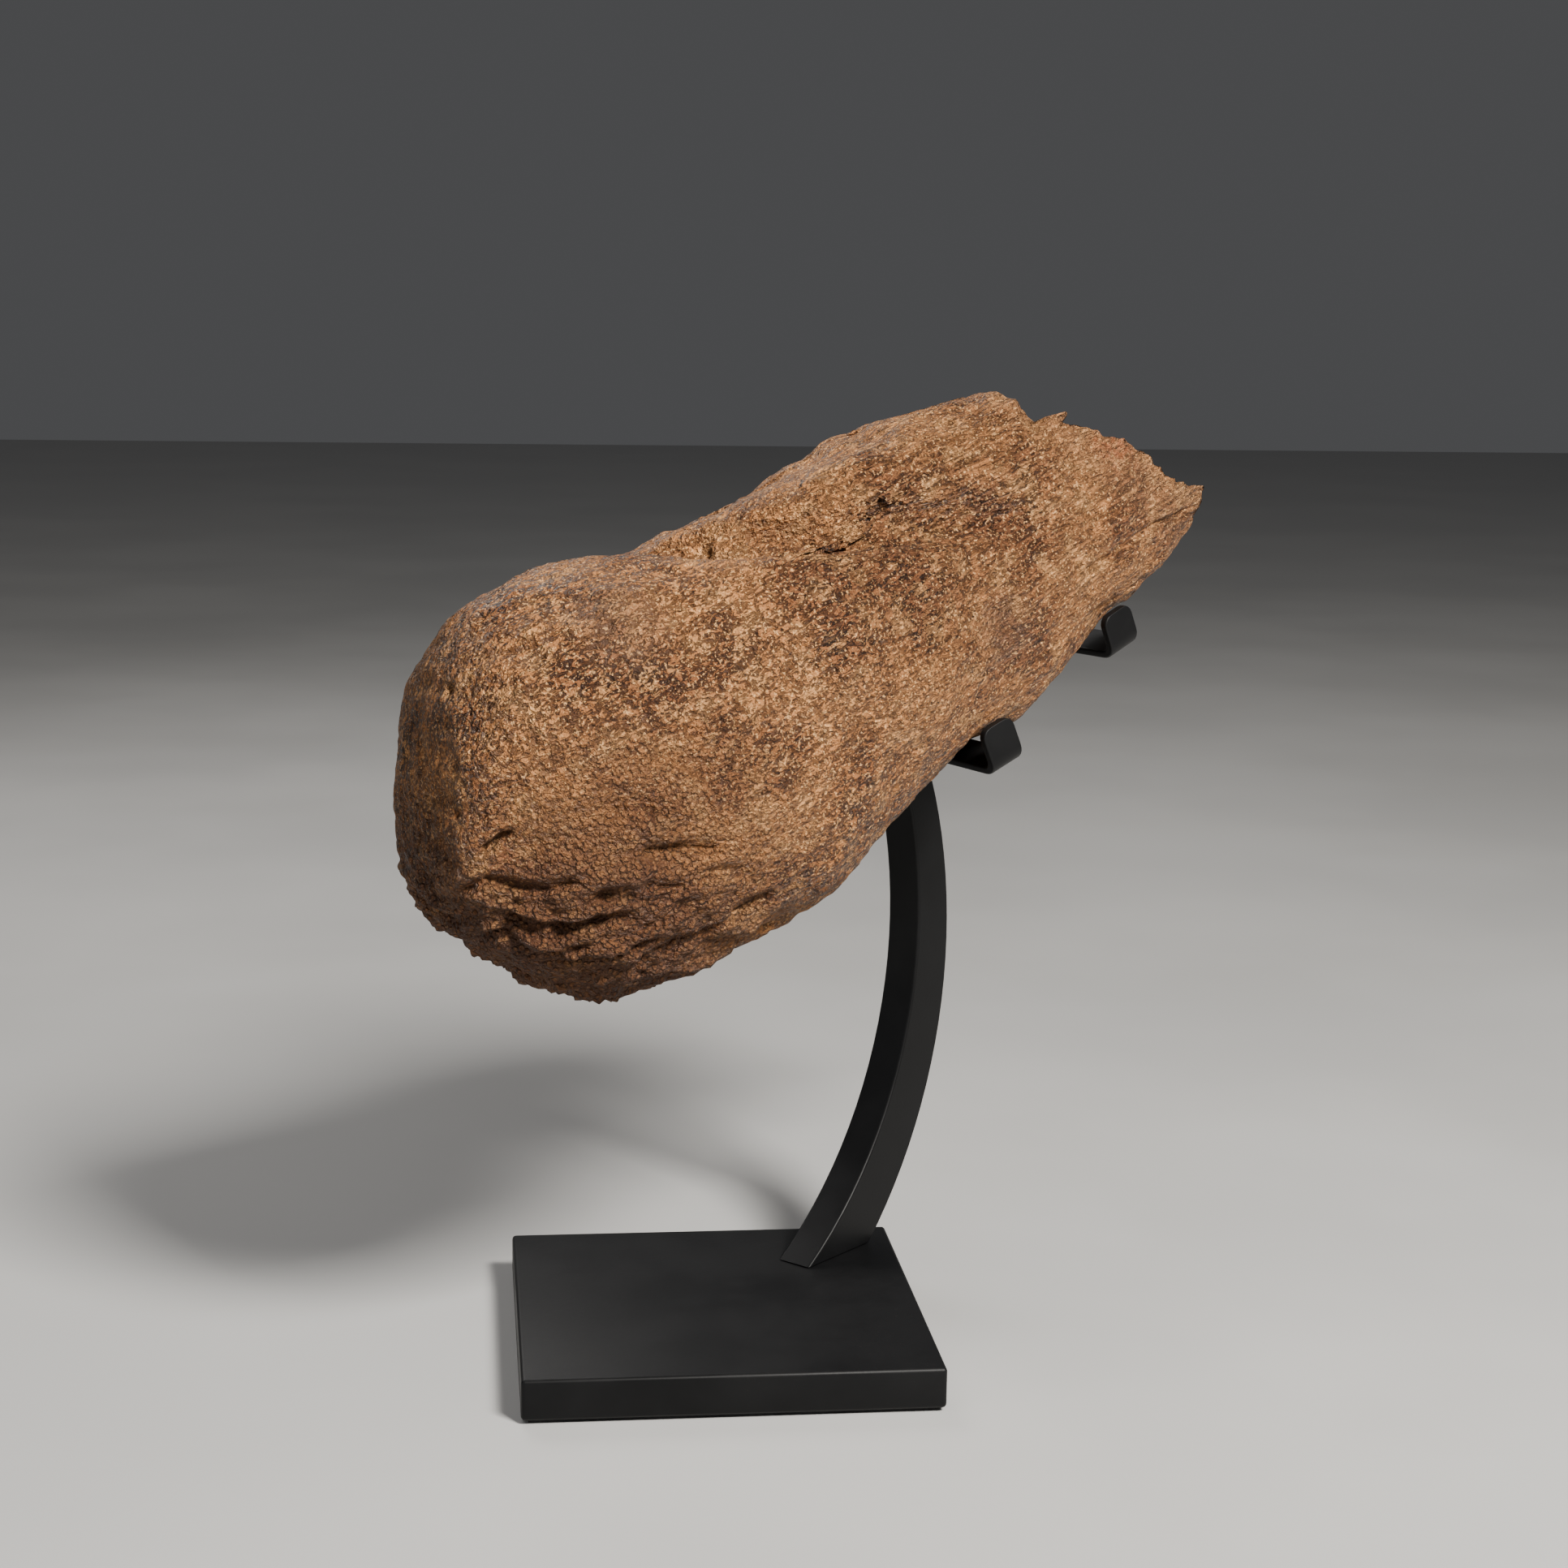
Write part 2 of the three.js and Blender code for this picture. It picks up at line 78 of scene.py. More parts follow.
MERGE = 0.002 * MM               # points nearer than this are made one
RIM_ANGLE = math.radians(48)     # edges sharper than this belong to the broken rim
SETTLE_FROM = 72                 # how far from the middle the thick end's smoothing starts
SETTLE_FULL = 100                # and how far from it the smoothing is full
SETTLE_STEPS = 70                # rounds of smoothing on the thick end
NEAR_SKIN = 6                    # how far off the skin a cut or a pit may be given
FALL = 2.2                       # how steeply a cut's or a pit's sides fall
KEPT_OFF = 0.1 * MM              # how far the skin draws back where it lies on steel

# Cuts in the skin: the line's points, half width, depth.
CUTS = [
    ([(-8, -10, 55), (4, -21.5, 50), (26, -30, 41.5), (51, -32, 31.6), (92, -29.5, 10.6)], 8, 4.0),
    ([(12, -26, 46), (26, -30.5, 40.5), (38, -32, 36)], 0.9, 1.0),
    ([(-124, -24, 1), (-117, -31, 2), (-106, -38, -7), (-98, -40, -9)], 2.6, 3.6),
    ([(-122, -24, -16), (-115, -31, -14), (-104, -36, -22), (-92, -40, -26)], 2.8, 3.2),
    ([(-74, -46, -13), (-68, -46, -15), (-55, -46, -22)], 2.2, 2.6),
    ([(-112, -30, -34), (-98, -36, -38), (-82, -38, -40)], 2.8, 3.0),
    ([(-92, -40, -16), (-80, -44, -20), (-70, -44, -27)], 2.0, 2.0),
    ([(-88, -36, -48), (-66, -38, -50), (-44, -38, -46)], 2.4, 2.2),
    ([(-72, -47, 7), (-66, -47, -4.6)], 0.9, 1.5),
    ([(-18, -34, 42), (-26, -38, 40), (-34, -41, 37)], 0.8, 0.7),
    ([(26, -38.5, 27.2), (31.5, -37.6, 26.2)], 1.3, 2.4),
    ([(103, -18, 39), (109, -19, 36), (116, -20, 35)], 0.9, 1.8),
    ([(112, -25, -18), (145, -19, -19), (166, -15, -23.5)], 2.2, 1.6),
    ([(-113.5, -33.5, 9.2), (-107.5, -36.4, 10.4)], 1.9, 4.4),
]

# Pits: middle, radius, depth. A negative depth is a swelling.
PITS = [
    ((-81.6, -45.6, 6.6), 1.9, 2.4), ((-76.6, -29, 54), 1.6, 2.0), ((-95.6, -16, 52), 2.2, 1.8),
    ((78.7, -32, 6.4), 1.7, 1.8), ((-20, -46, -12), 1.5, 1.3), ((14, -43, -6), 1.6, 1.4),
    ((42, -40, 2), 1.4, 1.1), ((-4, -46, 4), 1.3, 1.1), ((60, -36, -22), 1.4, 1.2),
    ((-58, -47, 22), 1.3, 1.0), ((-100, -36, 26), 1.5, 1.5), ((-118, -26, 24), 1.6, 1.6),
    ((30, 34, 20), 2.0, 1.8), ((-40, 38, 12), 2.2, 2.2), ((-84, 36, -14), 2.0, 1.9),
    ((4, 36, -22), 1.6, 1.4), ((72, 28, 10), 1.5, 1.3), ((-104, 32, 20), 2.4, 2.6),
    ((11, -42, 18), 17, -1.1), ((-84, -35, 43), 18, -0.9), ((35, -39, -19), 13, -0.9),
]

# The stand's bars: CAD node and the piece made from it.
BARS = {
    "arm": "curved_arm", "cross_bar": "hook_bar", "rear_prong": "prong",
    "lower_hook": "hook_low", "upper_hook": "hook_high",
}
BAR_CORNER = math.radians(30)    # edges sharper than this are softened

PAD_GRID = 60                    # squares along the felt pad's side
PAD_FRAY = 0.003                 # share of its size by which its edge wanders
PAD_HAIR = 3                     # size of that wandering, in millimetres
PAD_RIM = 0.999                  # share of its half side from which a point is on its edge
PAD_SMOOTH = math.radians(40)    # edges flatter than this are shaded smooth on the pad

# Lamps: name, place, side and tint. Their powers are settings.
LAMPS = [
    ("key", (0.52, -0.8, 1.05), 0.32, (1.0, 0.965, 0.91)),
    ("fill", (-1.1, -0.7, 0.6), 0.9, (0.95, 0.97, 1.0)),
    ("rim", (-0.35, 0.95, 0.95), 0.6, (1.0, 0.97, 0.94)),
]
LAMP_TARGET = Vector((0.02, 0.0, 0.2))

# The camera's place, and which way its picture's right and down point.
CAMERA_PLACE = Vector((-0.080893, -0.842541, 0.336299))
CAMERA_RIGHT = Vector((0.99328, -0.11468, 0.01579))
CAMERA_DOWN = Vector((-0.00538, -0.18199, -0.98328))
SENSOR = 36                      # width of its sensor, in millimetres
NEAR_END = 0.01                  # nothing nearer to it than this is shown, in metres


# ---- Settings ------------------------------------------------------------------------------------


def length(name, description, default):
    """A length setting, given in millimetres and kept in metres."""
    return bpy.props.FloatProperty(
        name=name, description=description, default=default * MM, min=0, subtype="DISTANCE", unit="LENGTH")


def tint(name, description, red, green, blue):
    """A colour setting."""
    return bpy.props.FloatVectorProperty(
        name=name, description=description, default=(red, green, blue, 1), size=4, min=0, max=1,
        subtype="COLOR")


def power(name, description, watts):
    """The power setting of a lamp."""
    return bpy.props.FloatProperty(name=name, description=description, default=watts, min=0, unit="POWER")


class HornSettings(bpy.types.PropertyGroup):
    """Sizes of the horn's relief, and its colours."""

    rim_crease: bpy.props.FloatProperty(
        name="Rim crease", description="How sharp the broken rim stays, from 0 to 1",
        default=0.75, min=0, max=1)
    lumps: length("Lumps", "Height of the lumps all over the skin", 0.85)
    grain: length("Grain", "Height of the fine grain all over the skin", 0.42)
    fibre: length("Fibre", "Height of the fibres towards the broken end", 0.5)
    sponge: length("Sponge", "Depth of the grooves between grains of spongy bone", 1.3)
    strata: length("Strata", "Depth of the level ledges in the spongy bone", 3.0)
    break_rough: length("Break", "Roughness of the broken face", 1.5)
    clear: length("Clearance", "How far round the steel the skin isn't raised", 3)
    tan: tint("Tan", "Matt bone", 0.4, 0.165, 0.05)
    deep_tan: tint("Deep tan", "Darker matt bone", 0.2, 0.068, 0.018)
    pale_tan: tint("Pale tan", "Paler patches of matt bone", 0.6, 0.3, 0.11)
    # Partly painted shade: the speckle's near-black stands for the shade in the bump's hollows as well as
    # the mineral's own colour.
    dark: tint("Dark", "Glossy mineral speckle", 0.012, 0.0035, 0.0011)
    fleck: tint("Fleck", "Small pale flecks", 0.84, 0.47, 0.2)
    speck: tint("Speck", "Small near-black specks", 0.045, 0.018, 0.009)
    # Partly painted shade: besides the spongy bone's own colour, this near-black brown darkens the lower
    # thick end for the shade of its down-facing side and deep hollows.
    sponge_brown_and_shade: tint("Sponge brown", "Spongy bone", 0.06, 0.018, 0.004)
    gloss_brown: tint("Gloss brown", "The two largest glossy patches", 0.14, 0.075, 0.045)
    rust: tint("Rust", "Orange-red stains", 0.36, 0.1, 0.03)
    break_brown: tint("Break brown", "The broken face", 0.23, 0.11, 0.05)


class StandSettings(bpy.types.PropertyGroup):
    """Sizes of the stand, and its colours."""

    plate_round: length("Plate edge", "Rounding of the base plate's edges", 1.3)
    bar_bevel: length("Bar edge", "Extra rounding of the bars' edges", 0.3)
    smooth: bpy.props.FloatProperty(
        name="Smooth angle", description="Edges flatter than this are shaded smooth",
        default=math.radians(50), subtype="ANGLE", unit="ROTATION")
    black: tint("Black", "Satin paint", 0.003, 0.0031, 0.0034)
    worn_black: tint("Worn black", "Slightly paler clouds in the paint", 0.0055, 0.0056, 0.006)
    dust: tint("Dust", "Dust on the paint", 0.075, 0.073, 0.07)
    felt: tint("Felt", "Depths of the felt", 0.008, 0.008, 0.009)
    felt_hair: tint("Felt hair", "Hairs of the felt", 0.03, 0.03, 0.031)


class StageSettings(bpy.types.PropertyGroup):
    """The floor, the lights and the camera."""

    floor_side: length("Floor side", "Side of the floor", 9000)
    key_power: power("Key", "Power of the main light", 52)
    fill_power: power("Fill", "Power of the light from the left", 3)
    rim_power: power("Rim", "Power of the light from behind", 6)
    sky_strength: bpy.props.FloatProperty(
        name="Sky", description="Strength of the light from all round", default=0.085, min=0)
    sky: tint("Sky colour", "Colour of the light from all round", 0.86, 0.87, 0.9)
    floor: tint("Floor", "The floor's colour", 0.4, 0.397, 0.39)
    floor_cloud: tint("Floor clouds", "Slightly paler clouds in the floor", 0.43, 0.427, 0.42)
    lens: length("Lens", "Focal length of the camera on a 36 mm sensor", 64.315)


# ---- Modelling helpers -----------------------------------------------------------------------------


def select_only(piece):
    """Makes this the only selected object, and the active one."""
    bpy.ops.object.select_all(action="DESELECT")
    piece.select_set(True)
    bpy.context.view_layer.objects.active = piece


def in_edit_mode(piece, *steps):
    """Runs edit-mode steps on everything in one piece."""
    select_only(piece)
    bpy.ops.object.mode_set(mode="EDIT")
    bpy.ops.mesh.select_all(action="SELECT")
    for step in steps:
        step()
    bpy.ops.object.mode_set(mode="OBJECT")


def modify(piece, kind, **settings):
    """Adds a modifier with these settings and applies it."""
    select_only(piece)
    modifier = piece.modifiers.new(kind.lower(), kind)
    for name, value in settings.items():
        setattr(modifier, name, value)
    bpy.ops.object.modifier_apply(modifier=modifier.name)


def copy_node(node, name):
    """A merged copy of a CAD node's mesh, free to be worked on."""
    piece = bpy.data.objects.new(name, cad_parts[node].data.copy())
    bpy.context.scene.collection.objects.link(piece)
    piece.data.materials.clear()
    in_edit_mode(
        piece,
        lambda: bpy.ops.mesh.remove_doubles(threshold=MERGE),
        lambda: bpy.ops.mesh.normals_make_consistent(inside=False))
    bpy.ops.mesh.customdata_custom_splitnormals_clear()
    return piece


def keep(piece, node, material):
    """Puts a finished piece in place of its CAD node."""
    piece.data.materials.clear()
    piece.data.materials.append(material)
    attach(piece, "root")
    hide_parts(node)


# ---- Shader helpers ----------------------------------------------------------------------------------


class Wire:
    """A shader socket that takes part in arithmetic."""

    def __init__(self, socket):
        self.socket = socket

    def make(self, kind, settings=None, inputs=None, out=0):
        """Adds a node beside this socket and returns one of its outputs."""
        node = self.socket.id_data.nodes.new(kind)
        for name, value in (settings or {}).items():
            setattr(node, name, value)
        for name, value in (inputs or {}).items():
            if isinstance(value, Wire):
                self.socket.id_data.links.new(value.socket, node.inputs[name])
            else:
                node.inputs[name].default_value = value
        return Wire(node.outputs[out])

    def sum(self, operation, first, second):
        """One step of arithmetic, in which this socket takes part."""
        return self.make("ShaderNodeMath", {"operation": operation}, {0: first, 1: second})

    def __add__(self, other):
        return self.sum("ADD", self, other)

    __radd__ = __add__

    def __sub__(self, other):
        return self.sum("SUBTRACT", self, other)

    def __rsub__(self, other):
        return self.sum("SUBTRACT", other, self)

    def __mul__(self, other):
        return self.sum("MULTIPLY", self, other)

    __rmul__ = __mul__

    def ramp(self, low, high, to_low=0.0, to_high=1.0):
        """This value taken smoothly from one range to another."""
        return self.make(
            "ShaderNodeMapRange", {"interpolation_type": "SMOOTHSTEP"},
            {"Value": self, "From Min": low, "From Max": high, "To Min": to_low, "To Max": to_high})

    def stretch(self, x, y, z):
        """This vector with each axis scaled."""
        return self.make("ShaderNodeVectorMath", {"operation": "MULTIPLY"}, {0: self, 1: (x, y, z)})

    def shift(self, x, y, z):
        """This vector moved along."""
        return self.make("ShaderNodeVectorMath", {"operation": "ADD"}, {0: self, 1: (x, y, z)})

    def away(self, x, y, z):
        """Distance of this vector from a point."""
        return self.make("ShaderNodeVectorMath", {"operation": "DISTANCE"}, {0: self, 1: (x, y, z)}, out=1)

    def grain(self, scale, detail=3.0, roughness=0.55, distortion=0.0):
        """Smooth noise over this vector."""
        inputs = {"Scale": scale, "Detail": detail, "Roughness": roughness, "Distortion": distortion}
        return self.make("ShaderNodeTexNoise", {}, {"Vector": self, **inputs})

    def cells(self, scale):
        """Distance to the nearest cell's middle over this vector."""
        return self.make("ShaderNodeTexVoronoi", {"feature": "F1"}, {"Vector": self, "Scale": scale})

    def blend(self, first, second):
        """Two colours mixed, with this value as the share of the second."""
        return self.make("ShaderNodeMix", {"data_type": "RGBA"}, {0: self, 6: first, 7: second}, out=2)


class Paint:
    """A material with one principled shader, and its pattern's coordinates in millimetres."""

    def __init__(self, name, place=(0, 0, 0), turn=(0, 0, 0)):
        self.material = bpy.data.materials.new(name)
        self.material.use_nodes = True
        self.tree = self.material.node_tree
        self.shader = self.tree.nodes["Principled BSDF"]
        coordinates = Wire(self.tree.nodes.new("ShaderNodeTexCoord").outputs["Object"])
        self.at = coordinates.make(
            "ShaderNodeMapping", {"vector_type": "TEXTURE"},
            {"Vector": coordinates, "Location": place, "Rotation": turn, "Scale": (MM, MM, MM)})

    def axes(self):
        """The coordinates' x, y and z."""
        return [self.at.make("ShaderNodeSeparateXYZ", {}, {0: self.at}, out=i) for i in range(3)]

    def give(self, **inputs):
        """Links or sets the shader's inputs, named with _ for a space."""
        for name, value in inputs.items():
            slot = self.shader.inputs[name.replace("_", " ")]
            if isinstance(value, Wire):
                self.tree.links.new(value.socket, slot)
            else:
                slot.default_value = value

    def bump(self, height, strength, depth):
        """A bump of this depth in millimetres."""
        return self.at.make(
            "ShaderNodeBump", {}, {"Height": height, "Strength": strength, "Distance": depth * MM})


# ---- Materials -----------------------------------------------------------------------------------------


def bone_paint(s):
    """Mineralised bone: matt tan, glossy dark brown speckle, fibres and spongy grain, with painted shade in
    the speckle's hollows and over the spongy lower thick end.
    """
    paint = Paint("fossil_bone", HORN_PLACE, HORN_TURN)
    at = paint.at
    x, _, z = paint.axes()

    # The kinds of skin: fibrous towards the broken end, spongy low on the thick end.
    patch = at.grain(0.03, 4.0, 0.6)
    wide = at.shift(90, 40, 10).grain(0.013, 2.0)
    fibrous = (x + (patch - 0.5) * 90).ramp(-25, 75)
    spongy = (0 - x + (patch - 0.5) * 60).ramp(0, 90) * (0 - z + (wide - 0.5) * 50).ramp(-42, 22)

    # The speckle, with a pattern of its own in each kind of skin. It is set where the bump is lowest, so
    # its darkness is partly painted shade in the hollows; in the spongy skin it fills the grooves between
    # grains.
    worms = at.stretch(0.5, 1, 1).grain(0.56, 3.0, 0.55, 1.3).ramp(0.45, 0.53)
    fibres = at.stretch(0.16, 1, 1).shift(0, 30, 0).grain(0.7, 3.0, 0.55, 0.5).ramp(0.43, 0.56)
    cell = at.cells(0.55)
    grooves = (cell + (at.grain(1.2, 3.0) - 0.5) * 0.5).ramp(0.34, 0.62)
    speckle = worms + fibrous * (fibres * 0.6 + worms * 0.4 - worms)
    speckle = speckle + spongy * (grooves * 0.8 + worms * 0.2 - speckle)

    # Bone colours, with the speckle over them and small flecks over both. The speckle's near-black is
    # partly the mineral's own colour and partly painted shade in the hollows.
    cover = patch.ramp(0.36, 0.64, 0.72, 1.0) * wide.ramp(0.35, 0.62, 0.88, 1.0)
    dark = speckle * cover
    tan = patch.ramp(0.36, 0.64).blend(s.tan, s.deep_tan)
    tan = (at.shift(7, 3, 5).grain(0.11, 3.0).ramp(0.5, 0.66) * 0.55).blend(tan, s.pale_tan)
    # Painted shade in part: the near-black speckle marks the bump's hollows as well as the mineral's
    # colour.
    tone = (dark * 0.97).blend(tan, s.dark)
    tone = (at.grain(1.0, 2.0).ramp(0.57, 0.65) * 0.6 * (1 - spongy * 0.5)).blend(tone, s.fleck)
    tone = (at.shift(13, 5, 2).grain(0.9, 2.0).ramp(0.63, 0.7) * 0.75).blend(tone, s.speck)
    # Painted shade in part: the spongy lower thick end is darkened towards near-black brown, for its own
    # colour and for the shade that falls on its down-facing side and in its hollows.
    tone = (spongy * 0.72).blend(tone, s.sponge_brown_and_shade)

    # Glossy patches, rust stains and the paler broken face.
    gloss_spot = at.away(-47, -35, 47).ramp(8, 20, 1, 0) + at.away(71, -32, -18).ramp(6, 16, 1, 0)
    tone = (gloss_spot * 0.4).blend(tone, s.gloss_brown)
    rust = at.away(142, -19, 13).ramp(4, 12, 1, 0) * at.grain(0.5, 3.0).ramp(0.4, 0.6)
    rust = rust + at.away(-110, -34, 5.5).ramp(2, 5, 1, 0) * 0.6
    tone = (rust * 0.75).blend(tone, s.rust)
    broken = (x + z * 0.55).ramp(126, 142) * 0.25
    tone = broken.blend(tone, s.break_brown)

    # The speckle is glossier than the bone, and stands in low relief.
    shiny = dark * (1 - spongy * 0.35) + gloss_spot * 0.4
    paint.give(
        Base_Color=tone,
        Roughness=0.68 - shiny.ramp(0.1, 0.9, 0, 0.3) + at.grain(0.8, 3.0) * 0.08,
        Specular_IOR_Level=0.4)
    height = (1 - worms) * 0.5 * (1 - spongy) + (1 - grooves) * 0.9 * spongy
    height = height + fibres * fibrous * -0.35 + at.grain(0.62, 3.0, 0.55) * 1.6
    paint.give(Normal=paint.bump(height, 1.0, 2.5))
    return paint.material


def steel_paint(s):
    """Satin black paint on steel, with a faint orange peel and a little dust."""
    paint = Paint("black_steel")
    at = paint.at
    peel = at.grain(0.9, 3.0, 0.5)
    cloud = at.grain(0.025, 4.0, 0.6)
    dust = at.grain(2.2, 2.0).ramp(0.7, 0.78) * cloud.ramp(0.45, 0.7)
    black = cloud.ramp(0.3, 0.7).blend(s.black, s.worn_black)
    paint.give(
        Base_Color=(dust * 0.5).blend(black, s.dust),
        Roughness=cloud.ramp(0.3, 0.7, 0.42, 0.5) + dust * 0.2 + (peel - 0.5) * 0.06,
        Specular_IOR_Level=0.16,
        Normal=paint.bump(peel, 0.35, 0.06))
    return paint.material


def felt_paint(s):
    """Short matted black felt."""
    paint = Paint("black_felt")
    at = paint.at
    hairs = at.stretch(1, 0.25, 1).grain(2.4, 4.0, 0.7, 1.5)
    hairs = hairs + at.stretch(0.25, 1, 1).grain(2.2, 4.0, 0.7, 1.5)
    paint.give(
        Base_Color=hairs.ramp(0.7, 1.3).blend(s.felt, s.felt_hair),
        Roughness=hairs.ramp(0.7, 1.3, 0.88, 0.98),
        Sheen_Weight=0.3,
        Normal=paint.bump(hairs, 0.8, 0.25))
    return paint.material


def floor_paint(s):
    """A plain pale studio floor."""
    paint = Paint("pale_floor")
    cloud = paint.at.grain(0.004, 4.0, 0.5)
    paint.give(
        Base_Color=cloud.ramp(0.3, 0.7).blend(s.floor, s.floor_cloud),
        Roughness=cloud.ramp(0.3, 0.7, 0.5, 0.62))
    return paint.material


def shared_steel(scene):
    """The stand's paint, made once for all its pieces."""
    if scene.fossil_steel is None:
        scene.fossil_steel = steel_paint(scene.fossil_stand)
    return scene.fossil_steel


# ---- The horn's relief ---------------------------------------------------------------------------------


def smooth(value, low, high):
    """0 below low and 1 above high, with a smooth step between them."""
    share = np.clip((value - low) / (high - low), 0, 1)
    return share * share * (3 - 2 * share)


def lumps(points, size, seed=0.0):
    """Noise from about -1 to 1 at each point, with lumps of this size in millimetres."""
    offset = Vector((seed, 0.7 * seed, 1.3 * seed))
    return np.array([noise.noise(Vector(p) + offset) for p in points / np.asarray(size, float)])


def grains(points, size):
    """0 in the grooves between rounded grains of this size, and 1 on their tops."""
    near = np.array([noise.voronoi(Vector(p))[0][:2] for p in points / size])
    return np.clip((near[:, 1] - near[:, 0]) / 0.5, 0, 1)


def along_skin(points, facing, line):
    """Distance from each point to a line of points, measured along the skin."""
    best = np.full(len(points), np.inf)
    ends = [np.array(p, float) for p in line]
    for start, end in zip(ends, ends[1:] or ends):
        run = end - start
        share = np.clip((points - start) @ run / max(run @ run, 1e-9), 0, 1)
        away = points - start - share[:, None] * run
        depth = np.einsum("ij,ij->i", away, facing)
        side = np.sqrt(np.maximum(np.einsum("ij,ij->i", away, away) - depth * depth, 0))
        best = np.minimum(best, np.where(np.abs(depth) < NEAR_SKIN, side, np.inf))
    return best


def horn_relief(points, facing, height, s):
    """How far the skin is raised at each point, in millimetres."""
    # Where the skin is spongy, where it is fibrous and where it is the broken face.
    x, z = points[:, 0], points[:, 2]
    drift = lumps(points, DRIFT_SIZE, 4)
    spongy = smooth(-x + 18 * drift, 5, 85) * smooth(-z + 14 * drift, -38, 22)
    fibrous = smooth(x + 20 * drift, -20, 60)
    broken = smooth(facing[:, 0], 0.45, 0.8) * smooth(x, 85, 105)

    # Lumps and grain everywhere, and fibres towards the broken end.
    raised = s.lumps / MM * (lumps(points, LUMP_SIZE) + 0.6 * lumps(points, SMALL_LUMP_SIZE, 2) - 0.15)
    raised += s.grain / MM * (lumps(points, GRAIN_SIZE, 7) + 0.5 * lumps(points, STREAK_SIZE, 5))
    raised += s.fibre / MM * fibrous * lumps(points, FIBRE_SIZE, 9)

    # Level ledges and rounded grains in the spongy skin.
    wander = height / STRATUM + 1.1 * lumps(points, LEDGE_WAVE, 6) + 0.35 * lumps(points, LEDGE_RIPPLE, 8)
    step = wander - np.floor(wander)
    undercut = smooth(step, 0, 0.28) * (1 - smooth(step, 0.34, 1.0))
    sponge = grains(points, CELL_SIZE)
    raised += spongy * (s.sponge / MM * (sponge - 0.75) - s.strata / MM * undercut * (0.6 + 0.6 * drift))
    raised += spongy * 1.6 * lumps(points, CLUMP_SIZE, 3)

    # Crumbs on the broken face.
    crumbs = np.abs(lumps(points, CRUMB_SIZE, 11)) + 0.5 * np.abs(lumps(points, SMALL_CRUMB_SIZE, 12))
    raised += broken * s.break_rough / MM * (0.4 - 1.6 * crumbs)

    for line, half, depth in CUTS:
        raised -= depth * np.exp(-FALL * (along_skin(points, facing, line) / half) ** 2)
    for middle, radius, depth in PITS:
        raised -= depth * np.exp(-FALL * (along_skin(points, facing, [middle]) / radius) ** 2)
    return raised


def settle_end(piece):
    """Softens the edges between the flats that are worn on the thick end."""
    inward = (Matrix.Translation(HORN_PLACE) @ HORN_TURN.to_matrix().to_4x4()).inverted()
    group = piece.vertex_groups.new(name="thick_end")
    along = [(inward @ v.co).x / MM for v in piece.data.vertices]
    for i, weight in enumerate(smooth(-np.array(along), SETTLE_FROM, SETTLE_FULL)):
        if weight > 0:
            group.add([i], float(weight), "REPLACE")
    modify(piece, "SMOOTH", factor=0.5, iterations=SETTLE_STEPS, vertex_group=group.name)
    piece.vertex_groups.clear()


def carve_horn(piece, s):
    """Moves the skin's points to give the horn its relief, and keeps them off the steel."""
    mesh = piece.data
    places = np.empty(3 * len(mesh.vertices))
    mesh.vertices.foreach_get("co", places)
    places = places.reshape(-1, 3)
    outward = np.array([v.normal for v in mesh.vertices], float)
    turn = np.array(HORN_TURN.to_matrix())
    points = (places - np.array(HORN_PLACE)) @ turn / MM
    raised = horn_relief(points, outward @ turn, places[:, 2] / MM, s) * MM

    for node in BARS:
        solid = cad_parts[node].data
        steel = BVHTree.FromPolygons(
            [v.co for v in solid.vertices], [list(f.vertices) for f in solid.polygons])
        for i, place in enumerate(places):
            if steel.find_nearest(Vector(place), s.clear)[0] is not None:
                raised[i] = min(raised[i], -KEPT_OFF)
    places += outward * raised[:, None]
    low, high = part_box("horn")
    places = np.clip(places, np.array(low), np.array(high))
    mesh.vertices.foreach_set("co", places.ravel())
    mesh.update()


# ---- Operators ---------------------------------------------------------------------------------------


class FOSSIL_OT_horn(bpy.types.Operator):
    """Models the horn from its plain solid: subdivided, carved and painted"""

    bl_idname = "fossil.horn"
    bl_label = "Horn"

    def execute(self, context):
        s = context.scene.fossil_horn
        piece = copy_node("horn", "fossil_horn")
        in_edit_mode(
            piece,
            bpy.ops.mesh.tris_convert_to_quads,
            lambda: bpy.ops.mesh.select_all(action="DESELECT"),
            lambda: bpy.ops.mesh.edges_select_sharp(sharpness=RIM_ANGLE),
            lambda: bpy.ops.transform.edge_crease(value=s.rim_crease))
        modify(piece, "SUBSURF", levels=2, render_levels=2)
        settle_end(piece)
        carve_horn(piece, s)
        select_only(piece)
        bpy.ops.object.shade_smooth()
        keep(piece, "horn", bone_paint(s))
        return {"FINISHED"}


class FOSSIL_OT_plate(bpy.types.Operator):
    """Models the square base plate with rounded edges"""

    bl_idname = "fossil.plate"
    bl_label = "Base plate"

    def execute(self, context):
        s = context.scene.fossil_stand
        low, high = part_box("base_plate")
        bpy.ops.object.select_all(action="DESELECT")
        bpy.ops.mesh.primitive_cube_add(size=1)
        piece = context.object
        piece.name = "plate"
        in_edit_mode(
            piece,
            lambda: bpy.ops.transform.resize(value=high - low, center_override=(0, 0, 0)),
            lambda: bpy.ops.transform.translate(value=(low + high) / 2))
        modify(piece, "BEVEL", width=s.plate_round, segments=5, limit_method="ANGLE")
        modify(piece, "WEIGHTED_NORMAL", keep_sharp=True)
        select_only(piece)
        bpy.ops.object.shade_smooth_by_angle(angle=s.smooth)
        keep(piece, "base_plate", shared_steel(context.scene))
        return {"FINISHED"}


